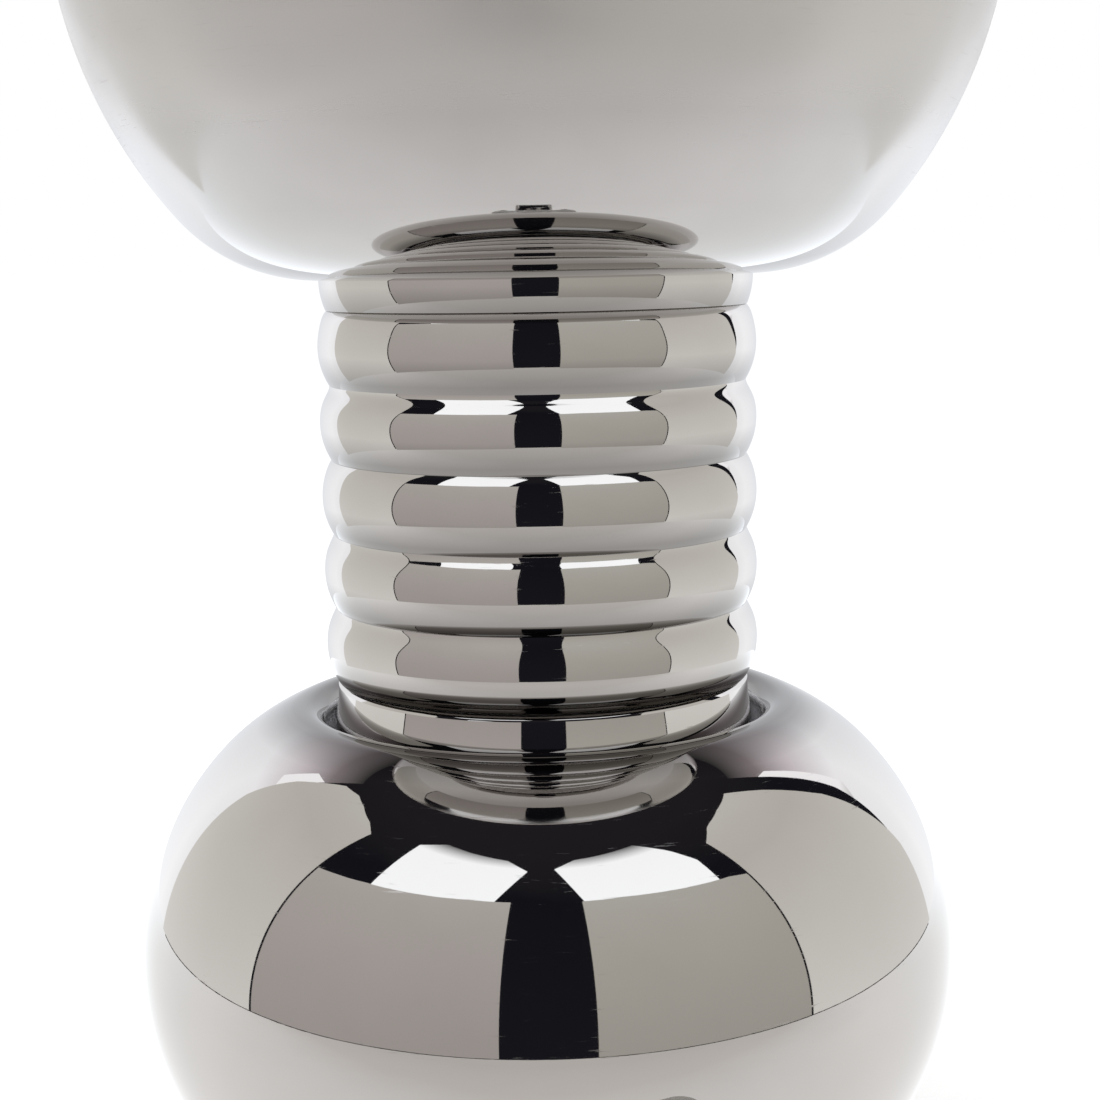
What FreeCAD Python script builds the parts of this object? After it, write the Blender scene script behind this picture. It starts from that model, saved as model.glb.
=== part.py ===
import FreeCAD, Part
import math
import os

# Counter-top gumball machine: a flattened steel ball for a base, a ribbed neck of stacked
# rings, and a globe whose lower half is a steel bowl and whose upper half is clear.
# Millimetres. +Z up, the floor at z = 0, the machine's axis on Z, its front towards -Y.

# ---- driving dimensions ----
sheet = 1.5                 # wall of the spun steel shells
neck_r = 50.0               # largest radius of a neck ring
rib_bulge_r = 16.55         # radius of a ring's outer curve
rib_pitch = 16.975
rib_count = 5
neck_bore_r = 45.0          # inside of the rings and collars
neck_low = 122.5            # underside of the lower collar
ribs_low = 137.91           # underside of the lowest ring
neck_top = 229.5            # top of the upper collar, where the bowl sits

crest_r = 55.9              # highest circle of the base
crest_z = 131.75
lip_roll_r = 5.0            # roll that turns down into the neck's recess
crest_roll_r = 9.5
shoulder_r = 49.5
flank_r = 65.1
heel_r = 30.0
recess_z = 120.0            # underside of the recess floor
foot_top = 21.1
foot_low = 3.0

bowl_turn_r = 40.3          # curve between the bowl's flat bottom and its sphere
bowl_turn_at = 49.3
globe_r = 105.0
globe_z = 311.7             # centre of the globe
bowl_rim_z = 311.0
dome_r = 103.5
dome_wall = 2.5
fill_level = 366.0          # height of the gumballs at the middle

tube_r = 43.5               # tube that clamps globe, neck and base together
tube_wall = 1.2
tube_low = 57.2
flange_r = 49.0             # flange that presses on the bowl's bottom

mech_front = -97.0          # front of the coin mechanism's housing
mech_half = 31.0
mech_low, mech_high = 4.0, 70.0
mech_back = -60.5
mech_wall = 2.5
knob_z = 49.0               # height of the coin shaft
shaft_r = 4.0
running = 0.05              # radial clearance of a shaft in its bearing
slot_low, slot_high, slot_half = 61.4, 63.6, 9.9

gum_d = 16.0                # gumball
pocket_r = gum_d / 2 + 2.0  # hole that carries one gumball
pocket_at = 24.0
pocket_count = 6
wheel_r = 41.6
wheel_low, wheel_high = 56.75, 71.75
crown_teeth, pinion_teeth = 60, 10
crown_r = 37.5              # pitch radius of the ring of teeth under the wheel
mesh_z = 55.25              # where pinion and crown teeth meet
deck_r, deck_low, deck_high = 35.2, 54.4, 56.4
pinion_back, pinion_front = -36.0, -39.0

V = FreeCAD.Vector
X, Y, Z = V(1, 0, 0), V(0, 1, 0), V(0, 0, 1)
os.makedirs("parts", exist_ok=True)


# ---- helpers ----
def save(name, *solids):
    """One STEP file; several solids stay separate in it."""
    shape = solids[0] if len(solids) == 1 else Part.makeCompound(list(solids))
    shape.exportStep("parts/" + name + ".step")


def arc(cr, cz, r, start, end):
    """Arc in the plane of radius and height, angles in degrees from outward to up."""
    at = [math.radians(a) for a in (start, (start + end) / 2, end)]
    return Part.Arc(*[V(cr + r * math.cos(a), 0, cz + r * math.sin(a)) for a in at]).toShape()


def lathe(*items):
    """Turned solid. Items are (radius, height) corners and arcs, joined by straight lines."""
    edges, first, last = [], None, None
    for item in items:
        if isinstance(item, tuple):
            start = end = V(item[0], 0, item[1])
        else:
            start, end = item.valueAt(item.FirstParameter), item.valueAt(item.LastParameter)
        if last is not None and last.distanceToPoint(start) > 1e-6:
            edges.append(Part.makeLine(last, start))
        if not isinstance(item, tuple):
            edges.append(item)
        first = first or start
        last = end
    if last.distanceToPoint(first) > 1e-6:
        edges.append(Part.makeLine(last, first))
    return Part.Face(Part.Wire(edges)).revolve(V(0, 0, 0), Z, 360)


def box(x0, x1, y0, y1, z0, z1):
    return Part.makeBox(x1 - x0, y1 - y0, z1 - z0, V(x0, y0, z0))


def rod(r, base, way, length):
    return Part.makeCylinder(r, length, V(*base), way)


def prism(points, lift):
    """Solid from a closed outline of points, pushed along lift."""
    corners = [V(*p) for p in points]
    return Part.Face(Part.makePolygon(corners + corners[:1])).extrude(lift)


def rounded(shape, radius, picked):
    """Rounds the edges for which picked(edge) is true."""
    return shape.makeFillet(radius, [e for e in shape.Edges if picked(e)])


def along(edge, way):
    """True for a straight edge that runs along way."""
    if not isinstance(edge.Curve, Part.Line):
        return False
    return abs(edge.tangentAt(edge.FirstParameter).dot(way)) > 0.999


def spots(count, radius, first, height):
    """Points around the axis, the first at the given angle."""
    for i in range(count):
        a = math.radians(first + 360.0 * i / count)
        yield radius * math.cos(a), radius * math.sin(a), height


# ---- base ----
def shell_centres():
    """Centres of the arcs that make the base's outline, from the crest down to the heel."""
    def step(centre, from_r, to_r, degrees):
        a = math.radians(degrees)
        return (centre[0] + (from_r - to_r) * math.cos(a), centre[1] + (from_r - to_r) * math.sin(a))
    crest = (crest_r, crest_z - crest_roll_r)
    shoulder = step(crest, crest_roll_r, shoulder_r, 68)
    flank = step(shoulder, shoulder_r, flank_r, 45)
    heel = step(flank, flank_r, heel_r, -45)
    return crest, shoulder, flank, heel


def outline(inset):
    """Arcs of the base's outline from the recess wall over the crest to the foot."""
    crest, shoulder, flank, heel = shell_centres()
    return [arc(crest_r, crest_z - lip_roll_r, lip_roll_r - inset, 180, 90),
            arc(*crest, crest_roll_r - inset, 90, 68),
            arc(*shoulder, shoulder_r - inset, 68, 45),
            arc(*flank, flank_r - inset, 45, -45),
            arc(*heel, heel_r - inset, -45, -70)]


def turned_round(edge):
    """The same edge, run the other way."""
    curve, a, b = edge.Curve, edge.FirstParameter, edge.LastParameter
    ends = [curve.value(b), curve.value((a + b) / 2), curve.value(a)]
    return Part.Arc(*ends).toShape()


def mech_window(gap):
    return box(-mech_half - gap, mech_half + gap, mech_front - 40, mech_back + 10,
               mech_low - gap, mech_high + gap)


def base_shell():
    wall_r = crest_r - lip_roll_r
    inner = [turned_round(e) for e in reversed(outline(sheet))]
    skin = lathe((tube_r + 0.3, recess_z), (tube_r + 0.3, recess_z + sheet),
                 (wall_r, recess_z + sheet), *outline(0), *inner,
                 (wall_r + sheet, recess_z))
    return skin.cut(mech_window(0.3))


def foot_ring():
    ring = lathe((60, foot_low), (70.5, foot_low), arc(70.5, foot_low + 1.5, 1.5, -90, 0),
                 (72, 8), arc(74.0, 15.0, 7.28, 254, 192), (66.5, foot_top),
                 (60, foot_top), (60, 9), (53.5, 9), (53.5, 6.2), (60, 6.2))
    for x, y, z in spots(4, 56.8, 45, 6.2):
        ring = ring.cut(rod(1.6, (x, y, z - 1), Z, 5))
    return ring.cut(mech_window(0.3))


def bottom_plate():
    plate = lathe((0, 4), (59.7, 4), (59.7, 6.2), (0, 6.2))
    for x, y, z in spots(4, 56.8, 45, 3):
        plate = plate.cut(rod(1.6, (x, y, z), Z, 5))
    return plate


def bottom_screws():
    screws = []
    for x, y, z in spots(4, 56.8, 45, 2.6):
        head = rod(2.8, (x, y, z), Z, 1.4).cut(box(x - 3, x + 3, y - 0.4, y + 0.4, z - 1, z + 0.8))
        screws.append(head.fuse(rod(1.5, (x, y, z + 1), Z, 5.2)).removeSplitter())
    return screws


def rubber_feet():
    feet = []
    for x, y, z in spots(4, 46.5, 45, 0):
        foot = Part.makeCone(6.2, 7.2, 4, V(x, y, z), Z)
        feet.append(rounded(foot, 0.8, lambda e: abs(e.BoundBox.ZMax) < 0.01))
    return feet


save("base_shell", base_shell())
save("foot_ring", foot_ring())
save("bottom_plate", bottom_plate())
save("bottom_screws", *bottom_screws())
save("rubber_feet", *rubber_feet())


# ---- neck ----
def neck_ring(number):
    """Ring number 0 is the lowest."""
    low = ribs_low + rib_pitch * number
    lean = math.degrees(math.asin(rib_pitch / 2 / rib_bulge_r))
    bulge = arc(neck_r - rib_bulge_r, low + rib_pitch / 2, rib_bulge_r, -lean, lean)
    return lathe((neck_bore_r, low), bulge, (neck_bore_r, low + rib_pitch))


ribs_high = ribs_low + rib_pitch * rib_count
groove_r = neck_r - rib_bulge_r + math.sqrt(rib_bulge_r ** 2 - (rib_pitch / 2) ** 2)
for number in range(rib_count):
    save("neck_ring_" + str(number + 1), neck_ring(number))

# the lower collar flares a little towards its foot, which stands in the base's recess
flare_r, flare_z = 33.4, 136.7
save("lower_collar", lathe(
    (neck_bore_r, neck_low), (48.6, neck_low), arc(groove_r + flare_r, flare_z, flare_r, 193.3, 180),
    (groove_r - 0.7, ribs_low), (neck_bore_r, ribs_low)))
save("upper_collar", lathe(
    (neck_bore_r, ribs_high), (groove_r + 0.1, ribs_high),
    arc(groove_r + 1.64 - 18.0, neck_top, 18.0, -22, 0), (neck_bore_r, neck_top)))
save("base_gasket", lathe((tube_r + 1.2, recess_z + sheet), (48.2, recess_z + sheet),
                          (48.2, neck_low), (tube_r + 1.2, neck_low)))

bore = tube_r - tube_wall
seat_z = neck_top + sheet              # inside of the bowl's flat bottom
save("neck_tube", lathe(
    (bore, tube_low), (tube_r, tube_low), (tube_r, seat_z + 0.7), (flange_r, seat_z + 0.7),
    (flange_r, seat_z + 2.4), (bore, seat_z + 2.4)))
save("bowl_gasket", lathe((tube_r + 0.3, seat_z), (flange_r, seat_z), (flange_r, seat_z + 0.7),
                          (tube_r + 0.3, seat_z + 0.7)))


def ring_nut():
    """Clamp nut under the recess floor, with notches for a spanner."""
    nut = lathe((tube_r, 111), (49.5, 111), (49.5, recess_z), (tube_r, recess_z))
    for i in range(8):
        notch = box(47.6, 52, -2.5, 2.5, 110, 121)
        notch.rotate(V(0, 0, 0), Z, 45.0 * i)
        nut = nut.cut(notch)
    return nut


save("ring_nut", ring_nut())


# ---- globe ----
def bowl_arcs(inset):
    """Lower curve and sphere of the bowl, from the flat bottom up to the rim."""
    turn_z = neck_top + bowl_turn_r
    lean = -math.degrees(math.acos(bowl_turn_at / (globe_r - bowl_turn_r)))
    rim = -math.degrees(math.asin((globe_z - bowl_rim_z) / (globe_r - inset)))
    return [arc(bowl_turn_at, turn_z, bowl_turn_r - inset, -90, lean),
            arc(0, globe_z, globe_r - inset, lean, rim)]


def globe_bowl():
    inner = [turned_round(e) for e in reversed(bowl_arcs(sheet))]
    hole = tube_r + 0.3
    return lathe((hole, neck_top), *bowl_arcs(0), *inner, (hole, neck_top + sheet))


def sphere_angle(height, radius):
    return math.degrees(math.asin((height - globe_z) / radius))


def globe_dome():
    """Clear upper half, with a foot that sits on the rim and a hole for the lid."""
    seat, foot, mouth = bowl_rim_z + 1.0, 2.6, 38.0
    inner_r = dome_r - dome_wall
    outer = arc(0, globe_z, dome_r, sphere_angle(seat + foot, dome_r), math.degrees(math.acos(mouth / dome_r)))
    inner = arc(0, globe_z, inner_r, math.degrees(math.acos(mouth / inner_r)), sphere_angle(seat, inner_r))
    return lathe((104.6, seat), (104.6, seat + foot), outer, inner)


save("globe_bowl", globe_bowl())
save("globe_gasket", lathe((101.2, bowl_rim_z), (104.6, bowl_rim_z), (104.6, bowl_rim_z + 1),
                           (101.2, bowl_rim_z + 1)))
save("globe_dome", globe_dome())
save("globe_band", lathe(
    (105.05, 304.8), (106.2, 304.8), arc(105.2, 311.2, 1.8, -60, 60), (106.2, 317.6),
    (103.75, 317.6), (103.75, 314.7), (105.05, 314.7)))

# ---- lid ----
save("lid_collar", lathe(
    (35.8, 402.5), (37.8, 402.5), (37.8, 408.1), arc(0, globe_z, dome_r + 0.15, 68.5, 65.6),
    (43.4, 410.2), arc(42.4, 410.2, 1.0, 0, 90), (35.8, 411.2)))
save("lid_gasket", lathe((36.2, 411.2), (41.6, 411.2), (41.6, 412.2), (36.2, 412.2)))
save("lid", lathe(
    (0, 420.6), (0, 423.6), (6, 423.6), arc(0, 315.62, 108.15, 86.8, 68.5),
    arc(41.2, 414.8, 2.6, 55, -90), (35.3, 412.2), (35.3, 404.5), (33.3, 404.5), (33.3, 413.0)))
save("lid_knob", lathe(
    (0, 423.6), (5.2, 423.6), arc(7.4, 427.6, 3.4, 230, 150), arc(0, 437.0, 9.6, -58, 90)))

# ---- gumballs ----
fill_gap = 1.0
turn = arc(bowl_turn_at, neck_top + bowl_turn_r, bowl_turn_r - sheet - fill_gap, -80,
           -math.degrees(math.acos(bowl_turn_at / (globe_r - bowl_turn_r))))
ball_part = arc(0, globe_z, globe_r - sheet - fill_gap - 2.2,
                sphere_angle(262, globe_r - sheet - fill_gap - 2.2),
                sphere_angle(fill_level - 10, globe_r - sheet - fill_gap - 2.2))
save("gumball_load", lathe(
    (0, 86), (bore - 0.6, 86), (bore - 0.6, neck_top + 5.5), turn, ball_part, (40, fill_level),
    (0, fill_level)))


# ---- coin mechanism: housing and plate ----
def mouth_box(half, low, high, y0, y1):
    return box(-half, half, y0, y1, low, high)


def coin_housing():
    block = box(-mech_half, mech_half, mech_front, mech_back, mech_low, mech_high)
    block = rounded(block, 5.0, lambda e: along(e, Z) and e.BoundBox.YMax < mech_front + 1)
    block = rounded(block, 1.6, lambda e: e.BoundBox.YMax < mech_front + 6 and not along(e, Z)
                    and (e.BoundBox.ZMin > mech_high - 0.1))
    hollow = box(-mech_half + mech_wall, mech_half - mech_wall, mech_front + mech_wall,
                 mech_back + 1, mech_low + mech_wall, mech_high - mech_wall)
    block = block.cut(hollow)
    block = block.cut(rod(shaft_r + running, (0, mech_front - 1, knob_z), Y, 6))
    block = block.cut(mouth_box(slot_half, slot_low, slot_high, mech_front - 1, mech_front + 4))
    block = block.cut(mouth_box(11.7, 8.0, 30.5, mech_front - 1, mech_front + 4))
    for x, z in plate_corners():
        block = block.cut(rod(1.3, (x, mech_front - 1, z), Y, 4))
    return block


def plate_corners():
    return [(x, z) for x in (-23.0, 23.0) for z in (12.0, 62.5)]


def coin_plate():
    """Face plate with the coin slot, the gumball mouth and two ears for the flap's pin."""
    plate = box(-27.5, 27.5, mech_front - 1.5, mech_front, 7, 67)
    plate = rounded(plate, 4.0, lambda e: along(e, Y))
    plate = plate.cut(rod(shaft_r + running, (0, mech_front - 3, knob_z), Y, 6))
    plate = plate.cut(mouth_box(10.3, 9.4, 29.1, mech_front - 3, mech_front + 1))
    frame = box(-slot_half - 3, slot_half + 3, mech_front - 2.7, mech_front - 1.5,
                slot_low - 1.6, slot_high + 1.6)
    plate = plate.fuse(frame)
    plate = plate.cut(mouth_box(slot_half, slot_low, slot_high, mech_front - 4, mech_front + 1))
    for x0, x1 in ((-15.2, -12.6), (12.6, 15.2)):
        ear = box(x0, x1, mech_front - 6.0, mech_front - 1.5, flap_z - 2.1, flap_z + 2.1)
        ear = rounded(ear, 1.6, lambda e: along(e, X) and e.BoundBox.YMax < mech_front - 4)
        plate = plate.fuse(ear)
    plate = plate.cut(rod(pin_r, (-16, flap_y, flap_z), X, 32))
    for x, z in plate_corners():
        plate = plate.cut(rod(1.3, (x, mech_front - 3, z), Y, 4))
    return plate.removeSplitter()


def plate_screws():
    """Domed cap screws at the plate's corners."""
    screws = []
    for x, z in plate_corners():
        head = rod(2.6, (x, mech_front - 1.5, z), -Y, 1.5)
        head = rounded(head, 1.0, lambda e: abs(e.BoundBox.YMax - (mech_front - 3.0)) < 0.01)
        socket = prism([(x + 1.3 * math.cos(math.radians(a)), mech_front - 4,
                         z + 1.3 * math.sin(math.radians(a))) for a in range(0, 360, 60)],
                       V(0, 1.9, 0))
        screws.append(head.cut(socket).fuse(rod(1.3, (x, mech_front - 1.6, z), Y, 3.5)))
    return screws


flap_y, flap_z, pin_r = mech_front - 3.9, 31.6, 0.9
save("coin_housing", coin_housing())
save("coin_plate", coin_plate())
save("plate_screws", *plate_screws())


# ---- gumball chute and its flap ----
def chute():
    """Duct from the hole in the deck down to the mouth."""
    floor, roof = 1.2, 1.2
    outer = [(-12.2, deck_low), (-12.2, 17.0), (mech_front + 0.3, 8.2), (mech_front + 0.3, 30.3),
             (-72, 31.0), (-35.2, 37.5), (-35.2, deck_low)]
    inner = [(-13.4, deck_low + 1), (-13.4, 17.1 + floor), (mech_front - 1, 8.1 + floor),
             (mech_front - 1, 30.3 - roof), (-72, 31.0 - roof), (-34.0, 36.4), (-34.0, deck_low + 1)]
    duct = prism([(-11.5, y, z) for y, z in outer], V(23, 0, 0))
    duct = duct.cut(prism([(-10.3, y, z) for y, z in inner], V(20.6, 0, 0)))
    return duct.cut(lathe((deck_r, 52), (60, 52), (60, 56), (deck_r, 56)))


def chute_flap():
    """Hinged door that hangs over the mouth, with a turned-out lip at its foot."""
    leaf = box(-11.8, 11.8, mech_front - 3.2, mech_front - 2.0, 7.6, flap_z - 0.9)
    leaf = rounded(leaf, 3.0, lambda e: along(e, Y) and e.BoundBox.ZMax < 8)
    barrel = rod(2.0, (-12.2, flap_y, flap_z), X, 24.4)
    lip = prism([(-7, mech_front - 3.2, 8.0), (-7, mech_front - 6.4, 6.6),
                 (-7, mech_front - 6.4, 7.8), (-7, mech_front - 3.2, 10.2)], V(14, 0, 0))
    flap = leaf.fuse(barrel).fuse(lip).removeSplitter()
    return flap.cut(rod(pin_r + running, (-13, flap_y, flap_z), X, 26))


save("chute", chute())
save("chute_flap", chute_flap())
save("flap_pin", rod(pin_r, (-15.6, flap_y, flap_z), X, 31.2))


# ---- coin drive ----
def coin_knob():
    """Round boss with a finger wing across it."""
    front = mech_front - 1.8
    boss = rod(10.4, (0, front, knob_z), -Y, 3.2)
    boss = rounded(boss, 1.2, lambda e: abs(e.BoundBox.YMax - (front - 3.2)) < 0.01)
    neck = rod(7.0, (0, front - 3.0, knob_z), -Y, 4.0)
    wing = box(-15.5, 15.5, mech_front - 15.0, front - 2.6, knob_z - 4, knob_z + 4)
    wing = rounded(wing, 3.6, lambda e: along(e, Y))
    wing = rounded(wing, 1.6, lambda e: e.BoundBox.YMax < mech_front - 14)
    knob = boss.fuse(neck).fuse(wing).removeSplitter()
    return knob.cut(rod(shaft_r, (0, mech_front - 9, knob_z), Y, 20))


def coin_drum():
    """Drum behind the plate with a flat seat for one coin between two shoulders."""
    front, length = mech_front + mech_wall + 0.3, 20.0
    drum = rod(17.5, (0, front, knob_z), Y, length)
    drum = drum.cut(box(-slot_half, slot_half, front - 1, front + 19.5, slot_low - 0.1, knob_z + 20))
    return drum.cut(rod(shaft_r, (0, front - 1, knob_z), Y, length + 2))


def bearing_plate():
    """Rear bearing of the coin shaft, hung from the housing's roof and sides."""
    plate = box(-mech_half + mech_wall, mech_half - mech_wall, -63.0, -61.0, 34.0,
                mech_high - mech_wall)
    return plate.cut(rod(shaft_r + running, (0, -64, knob_z), Y, 6))


def pinion():
    """Small gear on the shaft's end that turns the wheel."""
    module = 2 * crown_r / crown_teeth
    pitch_r = module * pinion_teeth / 2
    root_r, tip_r = pitch_r - 1.3, pitch_r + 1.0
    depth = pinion_back - pinion_front
    gear = rod(root_r, (0, pinion_front, knob_z), Y, depth)
    for i in range(pinion_teeth):
        tooth = prism([(-0.95, pinion_front, knob_z + root_r - 1), (0.95, pinion_front, knob_z + root_r - 1),
                       (0.72, pinion_front, knob_z + pitch_r), (0.36, pinion_front, knob_z + tip_r),
                       (-0.36, pinion_front, knob_z + tip_r), (-0.72, pinion_front, knob_z + pitch_r)],
                      V(0, depth, 0))
        tooth.rotate(V(0, 0, knob_z), Y, 360.0 * i / pinion_teeth)
        gear = gear.fuse(tooth)
    return gear.removeSplitter().cut(rod(2.5, (0, pinion_front - 1, knob_z), Y, depth + 2))


def coin_shaft():
    """Shaft with a thinner end that carries the pinion."""
    shaft = rod(shaft_r, (0, mech_front - 9, knob_z), Y, pinion_front - mech_front + 9)
    return shaft.fuse(rod(2.5, (0, pinion_front, knob_z), Y, pinion_back - pinion_front)).removeSplitter()


save("coin_knob", coin_knob())
save("coin_shaft", coin_shaft())
save("coin_drum", coin_drum())
save("bearing_plate", bearing_plate())
save("shaft_clip", rod(6.5, (0, -60.7, knob_z), Y, 1.4).cut(rod(shaft_r, (0, -62, knob_z), Y, 4)))
save("drive_pinion", pinion())


# ---- dispensing wheel ----
def dispensing_wheel():
    wheel = lathe((3 + running, wheel_low), (wheel_r, wheel_low), (wheel_r, wheel_high - 1),
                  (wheel_r - 1, wheel_high), (3 + running, wheel_high))
    groove = lathe((35.4, wheel_low - 1), (39.8, wheel_low - 1), (39.8, wheel_low + 3),
                   (35.4, wheel_low + 3))
    wheel = wheel.cut(groove)
    for x, y, z in spots(pocket_count, pocket_at, -90 + 180.0 / pocket_count, wheel_low - 1):
        wheel = wheel.cut(rod(pocket_r, (x, y, z), Z, 20))
    return wheel


def crown_gear():
    """Ring set in the wheel's underside, its teeth pointing down."""
    ring = lathe((35.4, wheel_low), (39.8, wheel_low), (39.8, wheel_low + 3), (35.4, wheel_low + 3))
    tip_z, root_z = mesh_z - 1.0, wheel_low + 0.3
    for i in range(crown_teeth):
        tooth = prism([(36.0, -0.95, root_z), (36.0, 0.95, root_z), (36.0, 0.42, tip_z),
                       (36.0, -0.42, tip_z)], V(3, 0, 0))
        tooth.rotate(V(0, 0, 0), Z, -90 + 360.0 * (i + 0.5) / crown_teeth)
        ring = ring.fuse(tooth)
    return ring.removeSplitter()


def wheel_deck():
    """Fixed disc that the gumballs slide over until the hole above the chute."""
    deck = lathe((3, deck_low), (deck_r, deck_low), (deck_r, deck_high), (3, deck_high))
    return deck.cut(rod(pocket_r + 0.2, (0, -pocket_at, deck_low - 1), Z, 4))


def ball_shield():
    """Fixed plate that keeps other gumballs off the pocket over the chute."""
    plate = lathe((9, wheel_high + 0.5), (bore, wheel_high + 0.5), (bore, wheel_high + 2.2),
                  (9, wheel_high + 2.2))
    wedge = prism([(0, 0, wheel_high), (-80, -80, wheel_high), (80, -80, wheel_high)], V(0, 0, 5))
    return plate.common(wedge)


def agitator():
    """Three-fingered stirrer that keeps the gumballs moving."""
    stirrer = lathe((3 + running, wheel_high), (7.5, wheel_high), (7.5, wheel_high + 6.5),
                    arc(6.0, wheel_high + 6.5, 1.5, 0, 90), (3 + running, wheel_high + 8))
    for i in range(3):
        finger = rod(1.7, (5, 0, wheel_high + 5), X, 28).fuse(
            Part.makeSphere(1.7, V(33, 0, wheel_high + 5)))
        finger.rotate(V(0, 0, 0), Z, 30 + 120.0 * i)
        stirrer = stirrer.fuse(finger)
    return stirrer.removeSplitter()


def deck_posts():
    return [rod(3.5, spot, Z, deck_low - 6.2) for spot in spots(3, 30.0, 90, 6.2)]


save("dispensing_wheel", dispensing_wheel())
save("crown_gear", crown_gear())
save("agitator", agitator())
save("wheel_deck", wheel_deck())
save("deck_posts", *deck_posts())
save("ball_shield", ball_shield())
save("thrust_washer", lathe((3.1, deck_high), (8, deck_high), (8, wheel_low - 0.05),
                            (3.1, wheel_low - 0.05)))
save("wheel_spindle", lathe((0, deck_low - 2), (5, deck_low - 2), (5, deck_low), (3, deck_low),
                            (3, wheel_high + 13), (0, wheel_high + 13)))
save("spindle_nut", prism([(5.5 * math.cos(math.radians(a)), 5.5 * math.sin(math.radians(a)),
                            wheel_high + 8.3) for a in range(0, 360, 60)], V(0, 0, 4))
     .cut(rod(3, (0, 0, wheel_high), Z, 20)))
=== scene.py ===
import math
import bpy
import bmesh
import numpy as np
from mathutils import Matrix, Vector


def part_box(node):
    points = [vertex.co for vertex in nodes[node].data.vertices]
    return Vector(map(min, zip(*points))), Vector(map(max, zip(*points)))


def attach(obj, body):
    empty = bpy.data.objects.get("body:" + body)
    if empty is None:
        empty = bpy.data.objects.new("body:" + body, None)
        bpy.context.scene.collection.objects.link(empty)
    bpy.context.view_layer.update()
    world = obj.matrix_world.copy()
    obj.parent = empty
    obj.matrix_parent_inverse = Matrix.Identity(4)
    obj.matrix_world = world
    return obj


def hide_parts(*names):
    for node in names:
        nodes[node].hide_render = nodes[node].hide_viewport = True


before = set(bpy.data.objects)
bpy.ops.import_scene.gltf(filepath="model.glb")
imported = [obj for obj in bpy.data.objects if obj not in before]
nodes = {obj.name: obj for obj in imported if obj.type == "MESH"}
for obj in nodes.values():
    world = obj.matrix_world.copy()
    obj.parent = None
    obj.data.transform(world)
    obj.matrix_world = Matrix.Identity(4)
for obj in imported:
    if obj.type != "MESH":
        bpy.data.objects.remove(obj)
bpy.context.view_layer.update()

mm = 0.001
samePoint = 1e-4
onAxis = 1e-6
print("frame loaded:", len(nodes), "nodes")


def rad(deg):
    return deg * math.pi / 180


def reach(node):
    # lowest height, highest height and outer radius of a turned part, in millimetres
    low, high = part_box(node)
    return low.z / mm, high.z / mm, high.x / mm


def arc(cr, cz, r, start, end, step=2.0):
    # points of an arc in the plane of radius and height, both ends included
    count = max(3, int(abs(end - start) / step) + 1)
    turn = [rad(start + (end - start) * i / (count - 1)) for i in range(count)]
    return [(cr + r * math.cos(a), cz + r * math.sin(a)) for a in turn]


def newObject(name, verts, faces, material):
    mesh = bpy.data.meshes.new(name)
    mesh.from_pydata(verts, [], faces)
    mesh.validate()
    obj = bpy.data.objects.new(name, mesh)
    bpy.context.scene.collection.objects.link(obj)
    if material:
        mesh.materials.append(material)
    return obj


def smooth(obj, sharpAngle=32):
    bm = bmesh.new()
    bm.from_mesh(obj.data)
    bmesh.ops.recalc_face_normals(bm, faces=bm.faces)
    bm.to_mesh(obj.data)
    bm.free()
    obj.data.shade_smooth()
    obj.data.set_sharp_from_angle(angle=rad(sharpAngle))
    return obj


def turned(name, profile, material, segments=224, sharpAngle=32):
    # closed outline of (radius, height) in millimetres, spun round the upright axis
    points = []
    for p in profile:
        if not points or math.dist(p, points[-1]) > samePoint:
            points.append(p)
    if math.dist(points[0], points[-1]) < samePoint:
        points.pop()
    verts, rows = [], []
    for r, z in points:
        if r < onAxis:
            rows.append([len(verts)] * segments)
            verts.append((0, 0, z * mm))
            continue
        rows.append(list(range(len(verts), len(verts) + segments)))
        for i in range(segments):
            a = 2 * math.pi * i / segments
            verts.append((r * mm * math.cos(a), r * mm * math.sin(a), z * mm))
    faces = []
    for k in range(len(rows)):
        low, high = rows[k], rows[(k + 1) % len(rows)]
        for i in range(segments):
            j = (i + 1) % segments
            ring = [low[i], low[j], high[j], high[i]]
            face = [v for n, v in enumerate(ring) if v != ring[n - 1]]
            if len(face) > 2:
                faces.append(face)
    return smooth(newObject(name, verts, faces, material), sharpAngle)


def block(name, low, high, material=None):
    # plain box between two corners in millimetres, used as a cutter or as raw stock
    xs, ys, zs = zip(low, high)
    verts = [(x * mm, y * mm, z * mm) for x in xs for y in ys for z in zs]
    faces = [(0, 1, 3, 2), (4, 6, 7, 5), (0, 4, 5, 1), (2, 3, 7, 6), (0, 2, 6, 4), (1, 5, 7, 3)]
    return newObject(name, verts, faces, material)


def cutAway(obj, cutter, sharpAngle=32):
    mod = obj.modifiers.new("cut", "BOOLEAN")
    mod.object = cutter
    mod.operation = "DIFFERENCE"
    mod.solver = "EXACT"
    bpy.context.view_layer.update()
    baked = bpy.data.meshes.new_from_object(obj.evaluated_get(bpy.context.evaluated_depsgraph_get()))
    obj.modifiers.clear()
    obj.data = baked
    bpy.data.objects.remove(cutter)
    baked.shade_smooth()
    baked.set_sharp_from_angle(angle=rad(sharpAngle))
    return obj


def standFor(obj, node, body):
    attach(obj, body)
    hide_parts(node)
    return obj


def joined(name, parts, material, sharpAngle):
    # several closed bodies as one piece
    whole = bmesh.new()
    for part in parts:
        whole.from_mesh(part.data)
        bpy.data.objects.remove(part)
    mesh = bpy.data.meshes.new(name)
    whole.to_mesh(mesh)
    whole.free()
    mesh.materials.append(material)
    obj = bpy.data.objects.new(name, mesh)
    bpy.context.scene.collection.objects.link(obj)
    return smooth(obj, sharpAngle)


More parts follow.
